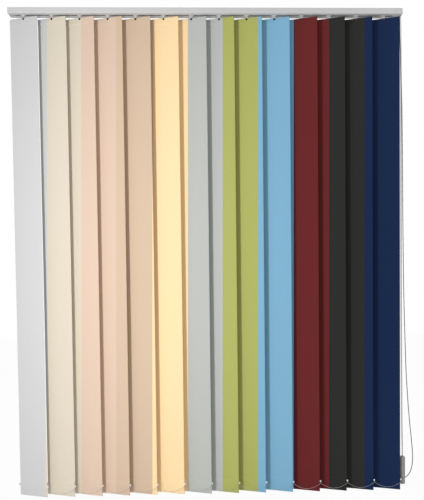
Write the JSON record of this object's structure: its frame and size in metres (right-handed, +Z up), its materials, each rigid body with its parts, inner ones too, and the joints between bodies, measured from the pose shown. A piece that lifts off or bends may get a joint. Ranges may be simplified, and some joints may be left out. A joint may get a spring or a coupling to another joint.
{
  "type": "vertical blind",
  "caption": "Vertical blind: tilting fabric vanes hang from carriers in a slim ceiling rail, with a draw cord, a tilt chain, a cord weight and linked bottom chains.",
  "frame": {"origin": "on the ceiling, midway between the two fixing screws, above the middle of the rail", "axes": "+X along the rail to the control end, -Y into the room, +Z up to the ceiling"},
  "size_m": [1.6641, 0.0494, 2.0003],
  "materials": {
    "rail_paint": "satin grey paint",
    "cap_plastic": "matte",
    "clip_steel": "zinc plated",
    "rod_metal": "mill",
    "drive_plastic": "matte white",
    "hook_plastic": "matte white",
    "cord_braid": "braided",
    "chain_plastic": "glossy beads",
    "link_plastic": "white beads",
    "weight_plastic": "matte grey",
    "vane_fabric_01": "woven, printed",
    "vane_fabric_02": "woven, printed",
    "vane_fabric_03": "woven, printed",
    "vane_fabric_04": "woven, printed",
    "vane_fabric_05": "woven, printed",
    "vane_fabric_06": "woven, printed",
    "vane_fabric_07": "woven, printed",
    "vane_fabric_08": "woven, printed",
    "vane_fabric_09": "woven, printed",
    "vane_fabric_10": "woven, printed",
    "vane_fabric_11": "woven, printed",
    "vane_fabric_12": "woven, printed",
    "vane_fabric_13": "woven, printed",
    "vane_fabric_14": "woven, printed"
  },
  "bodies": {
    "rail": {"head_rail": "rail_paint", "idle_end_cap": "cap_plastic", "control_housing": "cap_plastic", "ceiling_clips": "clip_steel", "rail_cord": "cord_braid", "draw_cord": "cord_braid", "tilt_chain": "chain_plastic", "cord_weight": "weight_plastic", "carrier_14": "drive_plastic"},
    "tilt_shaft": {"tilt_rod": "rod_metal", "chain_sprocket": "drive_plastic"},
    "idle_wheel": {"idle_pulley": "drive_plastic"},
    "cord_wheel": {"cord_pulley": "drive_plastic"},
    "carriage_01": {"carrier_01": "drive_plastic"},
    "carriage_02": {"carrier_02": "drive_plastic"},
    "carriage_03": {"carrier_03": "drive_plastic"},
    "carriage_04": {"carrier_04": "drive_plastic"},
    "carriage_05": {"carrier_05": "drive_plastic"},
    "carriage_06": {"carrier_06": "drive_plastic"},
    "carriage_07": {"carrier_07": "drive_plastic"},
    "carriage_08": {"carrier_08": "drive_plastic"},
    "carriage_09": {"carrier_09": "drive_plastic"},
    "carriage_10": {"carrier_10": "drive_plastic"},
    "carriage_11": {"carrier_11": "drive_plastic"},
    "carriage_12": {"carrier_12": "drive_plastic"},
    "carriage_13": {"carrier_13": "drive_plastic"},
    "vane_set_01": {"hook_set_01": "hook_plastic", "vane_01": "vane_fabric_01"},
    "vane_set_02": {"hook_set_02": "hook_plastic", "vane_02": "vane_fabric_02"},
    "vane_set_03": {"hook_set_03": "hook_plastic", "vane_03": "vane_fabric_03"},
    "vane_set_04": {"hook_set_04": "hook_plastic", "vane_04": "vane_fabric_04"},
    "vane_set_05": {"hook_set_05": "hook_plastic", "vane_05": "vane_fabric_05"},
    "vane_set_06": {"hook_set_06": "hook_plastic", "vane_06": "vane_fabric_06"},
    "vane_set_07": {"hook_set_07": "hook_plastic", "vane_07": "vane_fabric_07"},
    "vane_set_08": {"hook_set_08": "hook_plastic", "vane_08": "vane_fabric_08"},
    "vane_set_09": {"hook_set_09": "hook_plastic", "vane_09": "vane_fabric_09"},
    "vane_set_10": {"hook_set_10": "hook_plastic", "vane_10": "vane_fabric_10"},
    "vane_set_11": {"hook_set_11": "hook_plastic", "vane_11": "vane_fabric_11"},
    "vane_set_12": {"hook_set_12": "hook_plastic", "vane_12": "vane_fabric_12"},
    "vane_set_13": {"hook_set_13": "hook_plastic", "vane_13": "vane_fabric_13"},
    "vane_set_14": {"hook_set_14": "hook_plastic", "vane_14": "vane_fabric_14"},
    "front_links": {"front_chain": "link_plastic"},
    "rear_links": {"rear_chain": "link_plastic"}
  },
  "joints": [
    {"name": "draw_01", "type": "slide", "parent": "rail", "child": "carriage_01", "axis": [1, 0, 0], "range_m": [0, 1.1895], "deforming": ["front_chain", "rear_chain"]},
    {"name": "draw_02", "type": "slide", "parent": "rail", "child": "carriage_02", "axis": [1, 0, 0], "range_m": [0, 1.09801]},
    {"name": "draw_03", "type": "slide", "parent": "rail", "child": "carriage_03", "axis": [1, 0, 0], "range_m": [0, 1.00651]},
    {"name": "draw_04", "type": "slide", "parent": "rail", "child": "carriage_04", "axis": [1, 0, 0], "range_m": [0, 0.91501]},
    {"name": "draw_05", "type": "slide", "parent": "rail", "child": "carriage_05", "axis": [1, 0, 0], "range_m": [0, 0.82351]},
    {"name": "draw_06", "type": "slide", "parent": "rail", "child": "carriage_06", "axis": [1, 0, 0], "range_m": [0, 0.73201]},
    {"name": "draw_07", "type": "slide", "parent": "rail", "child": "carriage_07", "axis": [1, 0, 0], "range_m": [0, 0.64051]},
    {"name": "draw_08", "type": "slide", "parent": "rail", "child": "carriage_08", "axis": [1, 0, 0], "range_m": [0, 0.54901]},
    {"name": "draw_09", "type": "slide", "parent": "rail", "child": "carriage_09", "axis": [1, 0, 0], "range_m": [0, 0.45751]},
    {"name": "draw_10", "type": "slide", "parent": "rail", "child": "carriage_10", "axis": [1, 0, 0], "range_m": [0, 0.36601]},
    {"name": "draw_11", "type": "slide", "parent": "rail", "child": "carriage_11", "axis": [1, 0, 0], "range_m": [0, 0.27451]},
    {"name": "draw_12", "type": "slide", "parent": "rail", "child": "carriage_12", "axis": [1, 0, 0], "range_m": [0, 0.18301]},
    {"name": "draw_13", "type": "slide", "parent": "rail", "child": "carriage_13", "axis": [1, 0, 0], "range_m": [0, 0.09151]},
    {"name": "tilt_01", "type": "hinge", "parent": "carriage_01", "child": "vane_set_01", "pos_m": [-0.74525, 0, 0], "axis": [0, 0, -1], "range_deg": [-6, 146]},
    {"name": "tilt_02", "type": "hinge", "parent": "carriage_02", "child": "vane_set_02", "pos_m": [-0.63175, 0, 0], "axis": [0, 0, -1], "range_deg": [-6.01, 146.01]},
    {"name": "tilt_03", "type": "hinge", "parent": "carriage_03", "child": "vane_set_03", "pos_m": [-0.51825, 0, 0], "axis": [0, 0, -1], "range_deg": [-6.01, 146.01]},
    {"name": "tilt_04", "type": "hinge", "parent": "carriage_04", "child": "vane_set_04", "pos_m": [-0.40475, 0, 0], "axis": [0, 0, -1], "range_deg": [-6.01, 146.01]},
    {"name": "tilt_05", "type": "hinge", "parent": "carriage_05", "child": "vane_set_05", "pos_m": [-0.29125, 0, 0], "axis": [0, 0, -1], "range_deg": [-6.01, 146.01]},
    {"name": "tilt_06", "type": "hinge", "parent": "carriage_06", "child": "vane_set_06", "pos_m": [-0.17775, 0, 0], "axis": [0, 0, -1], "range_deg": [-6.01, 146.01]},
    {"name": "tilt_07", "type": "hinge", "parent": "carriage_07", "child": "vane_set_07", "pos_m": [-0.06425, 0, 0], "axis": [0, 0, -1], "range_deg": [-6.01, 146.01]},
    {"name": "tilt_08", "type": "hinge", "parent": "carriage_08", "child": "vane_set_08", "pos_m": [0.04925, 0, 0], "axis": [0, 0, -1], "range_deg": [-6.01, 146.01]},
    {"name": "tilt_09", "type": "hinge", "parent": "carriage_09", "child": "vane_set_09", "pos_m": [0.16275, 0, 0], "axis": [0, 0, -1], "range_deg": [-6.01, 146.01]},
    {"name": "tilt_10", "type": "hinge", "parent": "carriage_10", "child": "vane_set_10", "pos_m": [0.27625, 0, 0], "axis": [0, 0, -1], "range_deg": [-6.01, 146.01]},
    {"name": "tilt_11", "type": "hinge", "parent": "carriage_11", "child": "vane_set_11", "pos_m": [0.38975, 0, 0], "axis": [0, 0, -1], "range_deg": [-6.01, 146.01]},
    {"name": "tilt_12", "type": "hinge", "parent": "carriage_12", "child": "vane_set_12", "pos_m": [0.50325, 0, 0], "axis": [0, 0, -1], "range_deg": [-6.01, 146.01]},
    {"name": "tilt_13", "type": "hinge", "parent": "carriage_13", "child": "vane_set_13", "pos_m": [0.61675, 0, 0], "axis": [0, 0, -1], "range_deg": [-6.01, 146.01]},
    {"name": "tilt_14", "type": "hinge", "parent": "rail", "child": "vane_set_14", "pos_m": [0.73025, 0, 0], "axis": [0, 0, -1], "range_deg": [-6.01, 146.01]},
    {"name": "rod_turn", "type": "hinge", "parent": "rail", "child": "tilt_shaft", "pos_m": [0, 0.0086, -0.0155], "axis": [1, 0, 0], "range_deg": [-37, 877]},
    {"name": "idle_turn", "type": "hinge", "parent": "rail", "child": "idle_wheel", "pos_m": [-0.7889, -0.011, -0.014], "axis": [0, -1, 0], "range_deg": [-60, 13423.4]},
    {"name": "cord_turn", "type": "hinge", "parent": "rail", "child": "cord_wheel", "pos_m": [0.7942, -0.011, -0.0127], "axis": [0, -1, 0], "range_deg": [-60, 17995.1]},
    {"name": "front_swivel", "type": "hinge", "parent": "vane_set_14", "child": "front_links", "pos_m": [0.79372, -0.02259, -1.9563], "axis": [0, 0, 1], "range_deg": [-6.01, 146.01]},
    {"name": "rear_swivel", "type": "hinge", "parent": "vane_set_14", "child": "rear_links", "pos_m": [0.66678, 0.02259, -1.9563], "axis": [0, 0, 1], "range_deg": [-6.01, 146.01]}
  ],
  "couplings": [
    {"joint": "draw_02", "follows": "draw_01", "ratio": 0.92308},
    {"joint": "draw_03", "follows": "draw_01", "ratio": 0.84615},
    {"joint": "draw_04", "follows": "draw_01", "ratio": 0.76923},
    {"joint": "draw_05", "follows": "draw_01", "ratio": 0.69231},
    {"joint": "draw_06", "follows": "draw_01", "ratio": 0.61538},
    {"joint": "draw_07", "follows": "draw_01", "ratio": 0.53846},
    {"joint": "draw_08", "follows": "draw_01", "ratio": 0.46154},
    {"joint": "draw_09", "follows": "draw_01", "ratio": 0.38462},
    {"joint": "draw_10", "follows": "draw_01", "ratio": 0.30769},
    {"joint": "draw_11", "follows": "draw_01", "ratio": 0.23077},
    {"joint": "draw_12", "follows": "draw_01", "ratio": 0.15385},
    {"joint": "draw_13", "follows": "draw_01", "ratio": 0.076923},
    {"joint": "tilt_02", "follows": "tilt_01", "ratio": 1},
    {"joint": "tilt_03", "follows": "tilt_01", "ratio": 1},
    {"joint": "tilt_04", "follows": "tilt_01", "ratio": 1},
    {"joint": "tilt_05", "follows": "tilt_01", "ratio": 1},
    {"joint": "tilt_06", "follows": "tilt_01", "ratio": 1},
    {"joint": "tilt_07", "follows": "tilt_01", "ratio": 1},
    {"joint": "tilt_08", "follows": "tilt_01", "ratio": 1},
    {"joint": "tilt_09", "follows": "tilt_01", "ratio": 1},
    {"joint": "tilt_10", "follows": "tilt_01", "ratio": 1},
    {"joint": "tilt_11", "follows": "tilt_01", "ratio": 1},
    {"joint": "tilt_12", "follows": "tilt_01", "ratio": 1},
    {"joint": "tilt_13", "follows": "tilt_01", "ratio": 1},
    {"joint": "tilt_14", "follows": "tilt_01", "ratio": 1},
    {"joint": "rod_turn", "follows": "tilt_01", "ratio": 6},
    {"joint": "idle_turn", "follows": "draw_01", "rad_per_m": 196.08},
    {"joint": "cord_turn", "follows": "draw_01", "rad_per_m": 263.16},
    {"joint": "front_swivel", "follows": "tilt_01", "ratio": 1},
    {"joint": "rear_swivel", "follows": "tilt_01", "ratio": 1}
  ]
}
